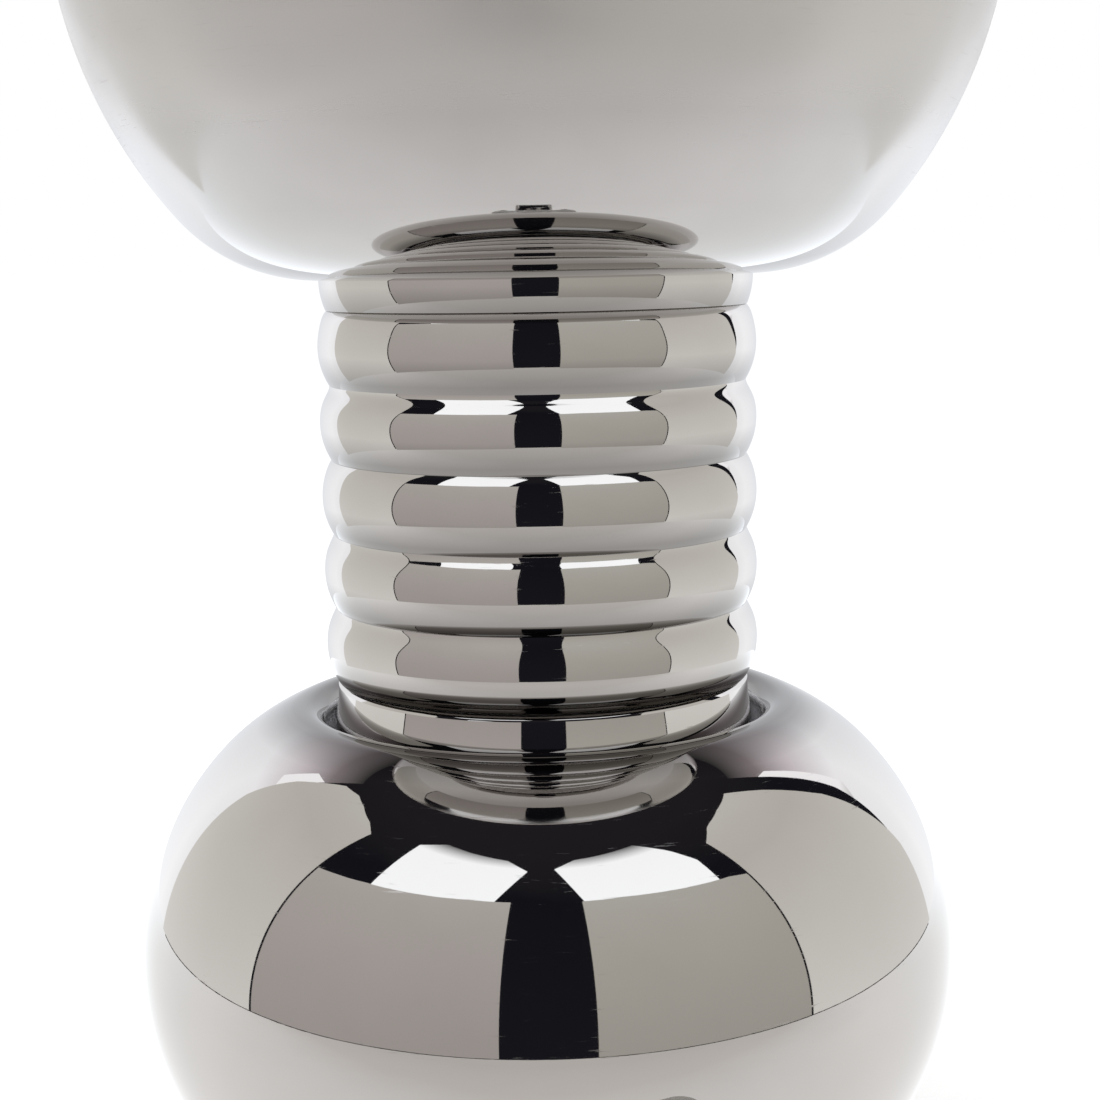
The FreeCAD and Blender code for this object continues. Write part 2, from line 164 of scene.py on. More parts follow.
def material(name):
    mat = bpy.data.materials.new(name)
    mat.use_nodes = True
    tree = mat.node_tree
    tree.nodes.clear()
    out = tree.nodes.new("ShaderNodeOutputMaterial")
    shader = tree.nodes.new("ShaderNodeBsdfPrincipled")
    tree.links.new(shader.outputs[0], out.inputs["Surface"])
    coords = tree.nodes.new("ShaderNodeTexCoord")
    return mat, tree, shader, coords.outputs["Object"]


def noise(tree, vector, scale, detail=4.0, stretch=(1, 1, 1), roughness=0.55):
    mapping = tree.nodes.new("ShaderNodeMapping")
    mapping.inputs["Scale"].default_value = stretch
    tree.links.new(vector, mapping.inputs["Vector"])
    node = tree.nodes.new("ShaderNodeTexNoise")
    node.inputs["Scale"].default_value = scale
    node.inputs["Detail"].default_value = detail
    node.inputs["Roughness"].default_value = roughness
    tree.links.new(mapping.outputs[0], node.inputs["Vector"])
    return node.outputs["Fac"]


def ramp(tree, fac, stops):
    node = tree.nodes.new("ShaderNodeValToRGB")
    while len(node.color_ramp.elements) < len(stops):
        node.color_ramp.elements.new(0.5)
    for element, (at, value) in zip(node.color_ramp.elements, stops):
        element.position = at
        element.color = (*value, 1) if isinstance(value, tuple) else (value, value, value, 1)
    tree.links.new(fac, node.inputs["Fac"])
    return node.outputs["Color"]


def maths(tree, kind, a, b=None, c=None):
    node = tree.nodes.new("ShaderNodeMath")
    node.operation = kind
    for socket, value in zip(node.inputs, (a, b, c)):
        if isinstance(value, (int, float)):
            socket.default_value = value
        elif value is not None:
            tree.links.new(value, socket)
    return node.outputs[0]


def bump(tree, shader, height, strength, distance):
    node = tree.nodes.new("ShaderNodeBump")
    node.inputs["Strength"].default_value = strength
    node.inputs["Distance"].default_value = distance
    tree.links.new(height, node.inputs["Height"])
    tree.links.new(node.outputs[0], shader.inputs["Normal"])


def aroundAxis(tree, vector, across=0.06):
    # radius, height and a little of the place across: texture that runs round a turned part
    split = tree.nodes.new("ShaderNodeSeparateXYZ")
    tree.links.new(vector, split.inputs[0])
    squares = [maths(tree, "MULTIPLY", split.outputs[k], split.outputs[k]) for k in (0, 1)]
    radius = maths(tree, "SQRT", maths(tree, "ADD", *squares))
    join = tree.nodes.new("ShaderNodeCombineXYZ")
    tree.links.new(radius, join.inputs[0])
    tree.links.new(maths(tree, "MULTIPLY", split.outputs[0], across), join.inputs[1])
    tree.links.new(split.outputs[2], join.inputs[2])
    return join.outputs[0]


def spanOf(tree, place, what, start, stop):
    # 0 to 1 over a span of height or of radius, in millimetres
    split = tree.nodes.new("ShaderNodeSeparateXYZ")
    tree.links.new(aroundAxis(tree, place), split.inputs[0])
    span = tree.nodes.new("ShaderNodeMapRange")
    span.inputs["From Min"].default_value = start * mm
    span.inputs["From Max"].default_value = stop * mm
    tree.links.new(split.outputs[0 if what == "radius" else 2], span.inputs["Value"])
    return span.outputs["Result"]


def times(tree, color, shade):
    mix = tree.nodes.new("ShaderNodeMix")
    mix.data_type = "RGBA"
    mix.blend_type = "MULTIPLY"
    mix.inputs["Factor"].default_value = 1.0
    tree.links.new(color, mix.inputs["A"])
    tree.links.new(shade, mix.inputs["B"])
    return mix.outputs["Result"]


polish = dict(wipingScale=900, wipingShare=0.03, wipingDepth=0.0006, cloudScale=26, speckScale=1500,
              speckShare=0.05, hairScale=2400, hairShare=0.11, waveScale=34, leastRoughness=0.012)


def mirrorSteel(name, tint, haze, cloud, wave, blotch=0.035, under=1.0, satin=None, paintedNeckShade=None):
    # polished steel: wiping marks round the part, hair scratches, specks, soft clouds, a slow wave;
    # under is the painted shade of downward faces, which darkens their colour, satin is
    # (what, from, to, extra roughness) and paintedNeckShade is (what, from, to, darkest shade) of painted
    # shade over that span
    mat, tree, shader, place = material(name)
    shader.inputs["Metallic"].default_value = 1.0
    wiping = noise(tree, aroundAxis(tree, place), polish["wipingScale"], 5)
    clouds = noise(tree, place, polish["cloudScale"], 3)
    specks = noise(tree, place, polish["speckScale"], 2)
    color = ramp(tree, clouds, [(0.3, tuple(c * (1 - blotch) for c in tint)), (0.72, tint)])
    # painted shade: faces that point down get a darker colour, down to the under shade
    if under < 1.0:
        facing = tree.nodes.new("ShaderNodeSeparateXYZ")
        tree.links.new(tree.nodes.new("ShaderNodeNewGeometry").outputs["Normal"], facing.inputs[0])
        paintedUnderShade = ramp(tree, maths(tree, "ADD", facing.outputs[2], 0.5), [(0.08, under), (0.42, 1.0)])
        color = times(tree, color, paintedUnderShade)
    # painted shade: the colour darkens over a span of height or radius, darkest at its start, next to the
    # neck
    if paintedNeckShade:
        what, start, stop, darkest = paintedNeckShade
        foot = ramp(tree, spanOf(tree, place, what, start, stop), [(0.0, darkest), (1.0, 1.0)])
        color = times(tree, color, foot)
    tree.links.new(color, shader.inputs["Base Color"])
    softness = maths(tree, "ADD", maths(tree, "MULTIPLY", clouds, cloud), haze - cloud * 0.5)
    marked = maths(tree, "MULTIPLY", maths(tree, "SUBTRACT", wiping, 0.5), polish["wipingShare"])
    speck = ramp(tree, specks, [(0.74, 0.0), (0.78, polish["speckShare"])])
    total = maths(tree, "ADD", maths(tree, "ADD", softness, marked), speck)
    scratches = noise(tree, aroundAxis(tree, place), polish["hairScale"], 2)
    hairs = ramp(tree, scratches, [(0.66, 0.0), (0.72, polish["hairShare"])])
    total = maths(tree, "ADD", total, hairs)
    if satin:
        what, start, stop, extra = satin
        brushed = maths(tree, "MULTIPLY", maths(tree, "ADD", clouds, 0.5), extra)
        higher = spanOf(tree, place, what, start, stop)
        total = maths(tree, "ADD", total, maths(tree, "MULTIPLY", higher, brushed))
    tree.links.new(maths(tree, "MAXIMUM", total, polish["leastRoughness"]), shader.inputs["Roughness"])
    slow = maths(tree, "MULTIPLY", noise(tree, place, polish["waveScale"], 1), wave)
    marks = maths(tree, "MULTIPLY", wiping, polish["wipingDepth"])
    bump(tree, shader, maths(tree, "ADD", slow, marks), strength=1.0, distance=0.001)
    return mat


def brushedMetal(name, tint, roughness, grain, stretch, swing=0.25):
    # lines drawn along one direction; the roughness swings about its value from line to line
    mat, tree, shader, place = material(name)
    shader.inputs["Metallic"].default_value = 1.0
    lines = noise(tree, place, grain, 6, stretch)
    tree.links.new(ramp(tree, lines, [(0.25, tuple(c * 0.8 for c in tint)), (0.75, tint)]),
                   shader.inputs["Base Color"])
    tree.links.new(maths(tree, "MULTIPLY_ADD", lines, swing, roughness - 0.12), shader.inputs["Roughness"])
    bump(tree, shader, lines, strength=0.25, distance=0.0002)
    return mat


def paintedCasting(name, dark, light):
    # die casting under silver paint: fine flakes, a slightly pebbled skin and a thin clear coat
    mat, tree, shader, place = material(name)
    shader.inputs["Metallic"].default_value = 0.45
    flakes = noise(tree, place, 2600, 2)
    pebbles = noise(tree, place, 420, 3)
    tree.links.new(ramp(tree, flakes, [(0.35, dark), (0.65, light)]), shader.inputs["Base Color"])
    tree.links.new(ramp(tree, pebbles, [(0.3, 0.34), (0.7, 0.46)]), shader.inputs["Roughness"])
    shader.inputs["Coat Weight"].default_value = 0.3
    shader.inputs["Coat Roughness"].default_value = 0.18
    bump(tree, shader, pebbles, strength=0.3, distance=0.00008)
    return mat


def plasticOrRubber(name, dark, light, roughness, grain, depth, swing=0.18):
    mat, tree, shader, place = material(name)
    fine = noise(tree, place, grain, 4)
    broad = noise(tree, place, 60, 3)
    tree.links.new(ramp(tree, broad, [(0.3, dark), (0.7, light)]), shader.inputs["Base Color"])
    varied = maths(tree, "MULTIPLY_ADD", fine, swing, roughness - swing / 2)
    tree.links.new(varied, shader.inputs["Roughness"])
    bump(tree, shader, fine, strength=0.3, distance=depth)
    return mat


def clearDome():
    mat, tree, shader, place = material("clearDome")
    shader.inputs["Transmission Weight"].default_value = 1.0
    shader.inputs["IOR"].default_value = 1.49
    smear = noise(tree, place, 30, 5, (1, 1, 2.5))
    tree.links.new(ramp(tree, smear, [(0.35, (0.97, 0.985, 0.985)), (0.75, (1.0, 1.0, 1.0))]),
                   shader.inputs["Base Color"])
    tree.links.new(ramp(tree, smear, [(0.5, 0.0), (0.8, 0.035)]), shader.inputs["Roughness"])
    return mat


def sugarShell(name, color):
    # glossy candy coat, a little blotchy, with the faint dimples of pan coating
    mat, tree, shader, place = material(name)
    blotch = noise(tree, place, 260, 4)
    deep, pale = tuple(c * 0.86 for c in color), tuple(min(1.0, c + 0.05) for c in color)
    coat = ramp(tree, blotch, [(0.35, deep), (0.62, color), (0.8, pale)])
    tree.links.new(coat, shader.inputs["Base Color"])
    tree.links.new(ramp(tree, blotch, [(0.3, 0.20), (0.75, 0.38)]), shader.inputs["Roughness"])
    shader.inputs["Coat Weight"].default_value = 0.5
    shader.inputs["Coat Roughness"].default_value = 0.06
    bump(tree, shader, noise(tree, place, 420, 2), strength=0.25, distance=0.0006)
    return mat


finish = dict(
    steelTint=(0.505, 0.482, 0.462),
    globeTint=(0.60, 0.58, 0.565),
    recessTint=(0.88, 0.88, 0.90),
    brushedTint=(0.50, 0.50, 0.49),
    brassTint=(0.66, 0.48, 0.22),
)
# the base's colour darkens inside 67 mm radius, to half tone from 60 mm inward: painted shade next to the
# neck
baseSteel = mirrorSteel("mirrorSteelBase", finish["steelTint"], haze=0.022, cloud=0.02, wave=0.010,
                        paintedNeckShade=("radius", 60, 67, 0.5))
recessSteel = brushedMetal("brushedSteelRecess", finish["recessTint"], roughness=0.36, grain=700,
                           stretch=(0.2, 0.2, 1.6))
# the rings' downward faces darken to half tone: painted shade
ringSteel = mirrorSteel("mirrorSteelRings", finish["steelTint"], haze=0.025, cloud=0.02, wave=0.016,
                        under=0.50)
# the bowl's colour darkens below 278 mm height, to 0.8 from 260 mm down: painted shade next to the neck
globeSteel = mirrorSteel("satinSteelGlobe", finish["globeTint"], haze=0.03, cloud=0.03, wave=0.010,
                         blotch=0.08, satin=("height", 246, 278, 0.46), paintedNeckShade=("height", 260, 278, 0.8))
fittingSteel = mirrorSteel("mirrorSteelFittings", finish["steelTint"], haze=0.04, cloud=0.03, wave=0.010)
silverPaint = paintedCasting("silverPaint", dark=(0.46, 0.455, 0.445), light=(0.60, 0.595, 0.585))
plainSteel = brushedMetal("brushedSteel", finish["brushedTint"], roughness=0.34, grain=240,
                          stretch=(1, 1, 9))
brass = brushedMetal("turnedBrass", finish["brassTint"], roughness=0.26, grain=300, stretch=(1, 8, 1))
rubber = plasticOrRubber("blackRubber", (0.018, 0.018, 0.018), (0.035, 0.035, 0.034),
                         roughness=0.72, grain=900, depth=0.0003)
whitePlastic = plasticOrRubber("whiteNylon", (0.78, 0.77, 0.73), (0.86, 0.85, 0.82),
                               roughness=0.42, grain=700, depth=0.0002)
domePlastic = clearDome()
print("materials made")


view = dict(distance=0.46, side=0.00215, eye=0.235, pitchDown=8.49, roll=-1.03, lens=65.45, sensor=36,
            nearest=0.01)
camData = bpy.data.cameras.new("camera")
camData.lens = view["lens"]
camData.sensor_width = view["sensor"]
camData.clip_start = view["nearest"]
camera = bpy.data.objects.new("camera", camData)
bpy.context.scene.collection.objects.link(camera)
turn = Matrix.Rotation(rad(90 - view["pitchDown"]), 4, "X") @ Matrix.Rotation(rad(view["roll"]), 4, "Z")
camera.matrix_world = Matrix.Translation((view["side"], -view["distance"], view["eye"])) @ turn
bpy.context.scene.camera = camera
# base: sheet steel in arcs that run into each other, from the lip round the recess down to the heel
base = dict(sheet=1.5, crestR=55.9, lipRoll=5.0, crestRoll=9.5, shoulderR=49.5, flankR=65.1, heelR=30.0,
            boreR=43.8, crestTurn=68, shoulderTurn=45, heelTurn=70, recessDeep=10.25, cornerR=1.2,
            cornerCut=0.35, recessSlack=0.5, innerCoarse=3, segments=288)
window = dict(gap=0.3, ahead=40, behind=10)
foot = dict(boreR=60.0, soleR=70.0, edgeAt=70.5, edgeR=1.5, waist=(72.0, 7.6), hollowAt=(74.0, 15.0),
            hollowR=7.28, hollowFrom=254, hollowTo=192, topR=66.5, topEdge=0.3, ledgeR=53.5, ledgeLow=6.2,
            ledgeHigh=9.0)


def stepCentre(centre, fromR, toR, turn):
    return (centre[0] + (fromR - toR) * math.cos(rad(turn)), centre[1] + (fromR - toR) * math.sin(rad(turn)))


def coinWindow():
    # cutter round the coin housing, running out past its front and its back
    low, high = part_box("coin_housing")
    free = window["gap"]
    return block("window", (low.x / mm - free, low.y / mm - window["ahead"], low.z / mm - free),
                 (high.x / mm + free, high.y / mm + window["behind"], high.z / mm + free))


def baseShell():
    top = reach("base_shell")[1]
    crest = (base["crestR"], top - base["crestRoll"])
    shoulder = stepCentre(crest, base["crestRoll"], base["shoulderR"], base["crestTurn"])
    flank = stepCentre(shoulder, base["shoulderR"], base["flankR"], base["shoulderTurn"])
    heel = stepCentre(flank, base["flankR"], base["heelR"], -base["shoulderTurn"])
    lip = (base["crestR"], top - base["lipRoll"])
    floorZ = top - base["recessDeep"]
    wall = base["crestR"] - base["lipRoll"]

    def skin(inset, coarse):
        # centre, radius, start, end and step of each arc
        runs = ((lip, base["lipRoll"], 180, 90, 3),
                (crest, base["crestRoll"], 90, base["crestTurn"], 1.5),
                (shoulder, base["shoulderR"], base["crestTurn"], base["shoulderTurn"], 0.8),
                (flank, base["flankR"], base["shoulderTurn"], -base["shoulderTurn"], 1),
                (heel, base["heelR"], -base["shoulderTurn"], -base["heelTurn"], 1.5))
        points = []
        for centre, r, start, end, step in runs:
            points += arc(*centre, r - inset, start, end, step * coarse)
        return points

    profile = ([(base["boreR"], floorZ - base["sheet"]), (base["boreR"], floorZ),
                (wall - base["cornerR"], floorZ), (wall - base["cornerCut"], floorZ + base["cornerCut"]),
                (wall, floorZ + base["cornerR"])]
               + skin(0, 1) + skin(base["sheet"], base["innerCoarse"])[::-1]
               + [(wall + base["sheet"], floorZ - base["sheet"])])
    shell = cutAway(turned("baseShell", profile, baseSteel, base["segments"]), coinWindow())
    shell.data.materials.append(recessSteel)
    for face in shell.data.polygons:
        x, y, z = face.center / mm
        if math.hypot(x, y) < wall + base["recessSlack"] and z > floorZ - base["recessSlack"]:
            face.material_index = 1
    return standFor(shell, "base_shell", "machine")


def footRing():
    low, top = reach("foot_ring")[:2]
    profile = ([(foot["boreR"], low), (foot["soleR"], low)]
               + arc(foot["edgeAt"], low + foot["edgeR"], foot["edgeR"], -90, 0, 6) + [foot["waist"]]
               + arc(*foot["hollowAt"], foot["hollowR"], foot["hollowFrom"], foot["hollowTo"], 3)
               + [(foot["topR"], top - foot["topEdge"]), (foot["topR"] - foot["topEdge"], top),
                  (foot["boreR"], top), (foot["boreR"], foot["ledgeHigh"]),
                  (foot["ledgeR"], foot["ledgeHigh"]), (foot["ledgeR"], foot["ledgeLow"]),
                  (foot["boreR"], foot["ledgeLow"])])
    ring = cutAway(turned("footRing", profile, fittingSteel), coinWindow())
    return standFor(ring, "foot_ring", "machine")


baseShell()
footRing()
print("base made")


# neck: five spun rings between two collars; skew is how much the upper half of each ring differs
neck = dict(curve=16.55, boreR=45.0, skew=(0.25, 0.2, -0.05, 0.42, -0.25), rows=56, segments=256)
collar = dict(edge=0.3, hollowAt=(81.1, 136.7), hollowR=33.4, hollowFrom=193.0,
              rim=((46.96, 0.3), (46.6, 0.0)), flareR=18.0, flareFrom=-22, flareIn=1.75, sharpAngle=26)


def neckRing(number):
    # one spun ring: an arc whose upper half is worked a little differently on every ring
    node = "neck_ring_" + str(number + 1)
    low, high, widest = reach(node)
    half, middle = (high - low) / 2, (high + low) / 2
    outline = []
    for i in range(neck["rows"] + 1):
        h = half * (2 * i / neck["rows"] - 1)
        r = widest - neck["curve"] + math.sqrt(neck["curve"] ** 2 - h ** 2)
        t = max(0.0, h / half)
        outline.append((r - neck["skew"][number] * 4 * (t ** 4 - t ** 8), middle + h))
    profile = [(neck["boreR"], low)] + outline + [(neck["boreR"], high)]
    ring = turned("neckRing" + str(number + 1), profile, ringSteel, neck["segments"])
    return standFor(ring, node, "machine")


def collars():
    low, high, widest = reach("lower_collar")
    profile = ([(neck["boreR"], low), (widest - collar["edge"], low), (widest, low + collar["edge"])]
               + arc(*collar["hollowAt"], collar["hollowR"], collar["hollowFrom"], 180, 0.8)
               + [(r, high - drop) for r, drop in collar["rim"]] + [(neck["boreR"], high)])
    lower = turned("lowerCollar", profile, ringSteel, neck["segments"], collar["sharpAngle"])
    standFor(lower, "lower_collar", "machine")
    low, high, widest = reach("upper_collar")
    profile = ([(neck["boreR"], low), (widest - collar["flareIn"], low)]
               + arc(widest - collar["flareR"], high, collar["flareR"], collar["flareFrom"], 0, 1)
               + [(neck["boreR"], high)])
    upper = turned("upperCollar", profile, ringSteel, neck["segments"], collar["sharpAngle"])
    standFor(upper, "upper_collar", "machine")


for number in range(len(neck["skew"])):
    neckRing(number)
collars()
print("neck made")


# globe: steel bowl up to a beaded band at the widest circle, clear dome above it
globe = dict(sheet=1.5, centre=311.7, turnR=40.3, turnAt=49.3, boreR=43.8, domeR=103.5, domeWall=2.5,
             domeFoot=2.6, mouthR=38.0)
band = dict(bowlR=105.05, outerR=106.2, edge=0.2, beadAt=(105.2, 311.2), beadR=1.8, beadTurn=60,
            domeR=103.75, stepZ=314.7)


def globeBowl():
    low, high, ballR = reach("globe_bowl")
    lean = -math.degrees(math.acos(globe["turnAt"] / (ballR - globe["turnR"])))

    def skin(inset):
        rim = -math.degrees(math.asin((globe["centre"] - high) / (ballR - inset)))
        return (arc(globe["turnAt"], low + globe["turnR"], globe["turnR"] - inset, -90, lean, 1)
                + arc(0, globe["centre"], ballR - inset, lean, rim, 0.7))

    profile = ([(globe["boreR"], low)] + skin(0) + skin(globe["sheet"])[::-1]
               + [(globe["boreR"], low + globe["sheet"])])
    bowl = turned("globeBowl", profile, globeSteel, 320)
    return standFor(bowl, "globe_bowl", "machine")


def globeDome():
    seat, footR = reach("globe_dome")[::2]
    footTop = seat + globe["domeFoot"]
    outerR, innerR = globe["domeR"], globe["domeR"] - globe["domeWall"]

    def atHeight(height, r):
        return math.degrees(math.asin((height - globe["centre"]) / r))

    def atMouth(r):
        return math.degrees(math.acos(globe["mouthR"] / r))

    profile = ([(footR, seat), (footR, footTop)]
               + arc(0, globe["centre"], outerR, atHeight(footTop, outerR), atMouth(outerR), 1.2)
               + arc(0, globe["centre"], innerR, atMouth(innerR), atHeight(seat, innerR), 1.2))
    dome = turned("globeDome", profile, domePlastic, 192)
    return standFor(dome, "globe_dome", "machine")


def globeBand():
    low, high = reach("globe_band")[:2]
    profile = ([(band["bowlR"], low), (band["outerR"] - band["edge"], low),
                (band["outerR"], low + band["edge"])]
               + arc(*band["beadAt"], band["beadR"], -band["beadTurn"], band["beadTurn"], 6)
               + [(band["outerR"], high - band["edge"]), (band["outerR"] - band["edge"], high),
                  (band["domeR"], high), (band["domeR"], band["stepZ"]), (band["bowlR"], band["stepZ"])])
    ring = turned("globeBand", profile, fittingSteel, 288, 40)
    return standFor(ring, "globe_band", "machine")


globeBowl()
globeDome()
globeBand()
print("globe made")


# lid: filling collar on the dome, domed cap with a spigot that drops into it, ball knob on a waist
filling = dict(innerR=35.8, outerR=37.8, wallTop=408.1, saddleR=103.65, saddleFrom=68.5, saddleTo=65.6,
               rimAt=(42.4, 410.2), rimR=1.0)
cap = dict(under=420.6, flatTop=423.6, flatR=6.0, crownZ=315.62, crownR=108.15, crownFrom=86.8, crownTo=68.5,
           rollAt=(41.2, 414.8), rollR=2.6, rollFrom=55, spigotR=35.3, spigotInR=33.3, spigotLow=404.5,
           spigotInTop=413.0)
lidGrip = dict(stemR=5.2, waistAt=(7.4, 427.6), waistR=3.4, waistFrom=230, waistTo=150, ballR=9.6,
               ballFrom=-58)


def lidParts():
    low, high, widest = reach("lid_collar")
    profile = ([(filling["innerR"], low), (filling["outerR"], low), (filling["outerR"], filling["wallTop"])]
               + arc(0, globe["centre"], filling["saddleR"], filling["saddleFrom"], filling["saddleTo"], 0.5)
               + [(widest, filling["rimAt"][1])] + arc(*filling["rimAt"], filling["rimR"], 0, 90, 10)
               + [(filling["innerR"], high)])
    ring = turned("lidCollar", profile, fittingSteel, 192)
    standFor(ring, "lid_collar", "machine")
    rollLow = cap["rollAt"][1] - cap["rollR"]
    profile = ([(0, cap["under"]), (0, cap["flatTop"]), (cap["flatR"], cap["flatTop"])]
               + arc(0, cap["crownZ"], cap["crownR"], cap["crownFrom"], cap["crownTo"], 0.8)
               + arc(*cap["rollAt"], cap["rollR"], cap["rollFrom"], -90, 6)
               + [(cap["spigotR"], rollLow), (cap["spigotR"], cap["spigotLow"]),
                  (cap["spigotInR"], cap["spigotLow"]), (cap["spigotInR"], cap["spigotInTop"])])
    lid = turned("lid", profile, fittingSteel)
    standFor(lid, "lid", "lid")
    low, high = reach("lid_knob")[:2]
    profile = ([(0, low), (lidGrip["stemR"], low)]
               + arc(*lidGrip["waistAt"], lidGrip["waistR"], lidGrip["waistFrom"], lidGrip["waistTo"], 6)
               + arc(0, high - lidGrip["ballR"], lidGrip["ballR"], lidGrip["ballFrom"], 90, 3))
    grip = turned("lidKnob", profile, fittingSteel, 128, 50)
    standFor(grip, "lid_knob", "lid")


lidParts()
print("lid made")


# gumballs: stacked loosely, then let settle; heap is how far the middle of the pile stands up
gum = dict(radius=7.95, fill=366.0, heap=7.0, seed=7, settle=70, quickSettle=6, skin=1.2, lift=3.5,
           spread=1.03, rowPitch=1.732, rowShift=0.577, layerPitch=1.66, jitter=0.8, unevenness=1.6,
           sink=0.25, sinkShare=0.6, easing=0.9, turnMeet=0.648, heapAt=(18, -10), heapFall=1.6,
           heapReach=90, outerDeep=26, topDeep=34, bandFoot=296, fullTurn=6.28, squash=(0.975, 0.98),
           colours=dict(Red=(0.50, 0.008, 0.012), Yellow=(0.78, 0.42, 0.008), Orange=(0.78, 0.13, 0.006),
                        Green=(0.02, 0.27, 0.03), Blue=(0.012, 0.07, 0.40), Pink=(0.70, 0.12, 0.22),
                        White=(0.80, 0.78, 0.72)))


def wallRadius(z):
    # how far out a gumball's centre may lie at a height, in millimetres
    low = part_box("globe_bowl")[0].z / mm + globe["sheet"]
    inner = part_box("globe_bowl")[1].x / mm - globe["sheet"] - gum["skin"] - gum["radius"]
    turnR = globe["turnR"] - globe["sheet"] - gum["radius"]
    z = np.asarray(z, float)
    sphere = np.sqrt(np.maximum(inner ** 2 - (z - globe["centre"]) ** 2, 1.0))
    turnZ = low - globe["sheet"] + globe["turnR"]
    bend = globe["turnAt"] + np.sqrt(np.maximum(turnR ** 2 - (z - turnZ) ** 2, 0.0))
    meet = turnZ - turnR * gum["turnMeet"]
    return np.where(z < meet, np.where(z < low + gum["radius"], globe["turnAt"], bend), sphere)


def looseStack(low):
    # rows of balls with room between them, layer on layer
    r = gum["radius"]
    centres, level, z = [], 0, low
    while z < gum["fill"] + gum["heap"] - r:
        limit = float(wallRadius(z))
        rows = int(limit / (r * gum["rowPitch"])) + 2
        for j in range(-rows, rows + 1):
            for i in range(-rows - 2, rows + 3):
                x = (2 * i + (j % 2) + (level % 2)) * r * gum["spread"]
                y = (j * gum["rowPitch"] + (level % 2) * gum["rowShift"]) * r * gum["spread"]
                if math.hypot(x, y) < limit:
                    centres.append((x, y, z))
        z += r * gum["layerPitch"]
        level += 1
    return centres


def settledCentres():
    # a few rounds of sinking and pushing apart, as when balls are poured in
    rng = np.random.default_rng(gum["seed"])
    r = gum["radius"]
    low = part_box("globe_bowl")[0].z / mm + globe["sheet"] + r + gum["lift"]
    centres = looseStack(low)
    p = np.array(centres) + rng.normal(0, gum["jitter"], (len(centres), 3))
    rounds = gum["settle"]
    bumps = rng.normal(0, gum["unevenness"], len(p))
    heapX, heapY = gum["heapAt"]
    for step in range(rounds):
        p[:, 2] -= gum["sink"] if step < rounds * gum["sinkShare"] else 0.0
        for again in range(2):
            gap = p[:, None, :] - p[None, :, :]
            dist = np.sqrt((gap ** 2).sum(-1)) + np.eye(len(p)) * 1e6
            push = np.maximum(2 * r - dist, 0) / dist * 0.5
            p += (gap * push[:, :, None]).sum(1) * gum["easing"]
            limit = wallRadius(p[:, 2])
            flat = np.hypot(p[:, 0], p[:, 1])
            p[:, :2] *= np.minimum(1.0, limit / np.maximum(flat, 1e-6))[:, None]
            away = np.hypot(p[:, 0] - heapX, p[:, 1] - heapY) / gum["heapReach"]
            swell = gum["heap"] * (1 - gum["heapFall"] * away ** 2)
            p[:, 2] = np.clip(p[:, 2], low - gum["lift"], gum["fill"] - r + swell + bumps)
    return p, rng


def gumballs():
    # balls that can be seen through the dome are finer than those deep in the pile
    centres, rng = settledCentres()
    names = list(gum["colours"])
    pick = rng.integers(0, len(names), len(centres))
    outer = wallRadius(centres[:, 2]) - np.hypot(centres[:, 0], centres[:, 1]) < gum["outerDeep"]
    seen = (outer | (centres[:, 2] > gum["fill"] - gum["topDeep"])) & (centres[:, 2] > gum["bandFoot"])
    for k, name in enumerate(names):
        bm = bmesh.new()
        for c, near in zip(centres[pick == k], seen[pick == k]):
            tumble = [float(rng.uniform(0, gum["fullTurn"])) for axis in "XZ"]
            spin = Matrix.Rotation(tumble[0], 4, "X") @ Matrix.Rotation(tumble[1], 4, "Z")
            flatter = [float(rng.uniform(least, 1.0)) for least in gum["squash"]]
            squash = Matrix.Diagonal((1.0, *flatter, 1.0))
            bmesh.ops.create_icosphere(bm, subdivisions=4 if near else 2, radius=gum["radius"] * mm,
                                       matrix=Matrix.Translation(Vector(c) * mm) @ spin @ squash)
        mesh = bpy.data.meshes.new("gumballs" + name)
        bm.to_mesh(mesh)
        bm.free()
        mesh.shade_smooth()
        mesh.materials.append(sugarShell("sugarShell" + name, gum["colours"][name]))
        balls = bpy.data.objects.new("gumballs" + name, mesh)
        bpy.context.scene.collection.objects.link(balls)
        standFor(balls, "gumball_load", "machine")
    print("gumballs:", len(centres))


gumballs()
print("gumballs made")


# coin knob: round boss and neck on the shaft, with a finger wing across them
knob = dict(bossR=10.4, bossDeep=3.2, bossEdge=1.2, neckR=7.0, neckDeep=7.0, fillet=0.8, boreR=4.0,
            wingBack=2.6, wingHalf=14.9, wingTall=4.0, cornerR=3.6, edgeR=1.5)


def knobWing(back, tip, height):
    # rounded bar whose outline draws in towards its front edge; corners are (x side, z side, start)
    rings = [(back, 0.0), (tip + knob["edgeR"], 0.0)]
    rings += [(tip + knob["edgeR"] * (1 - math.sin(rad(a))), knob["edgeR"] * (1 - math.cos(rad(a))))
              for a in range(15, 91, 15)]
    corners = ((1, 1, 0), (-1, 1, 90), (-1, -1, 180), (1, -1, 270))
    cornerX, cornerZ = knob["wingHalf"] - knob["cornerR"], knob["wingTall"] - knob["cornerR"]
    verts, count = [], 0
    for y, inset in rings:
        outline = []
        for cx, cz, start in corners:
            outline += arc(cx * cornerX, cz * cornerZ, knob["cornerR"] - inset, start, start + 90, 9)
        count = len(outline)
        verts += [(x * mm, y * mm, (height + z) * mm) for x, z in outline]
    faces = [tuple(range(count)), tuple(range(len(verts) - count, len(verts)))]
    for k in range(len(rings) - 1):
        for i in range(count):
            j = (i + 1) % count
            faces.append((k * count + i, k * count + j, (k + 1) * count + j, (k + 1) * count + i))
    return newObject("knobWing", verts, faces, None)


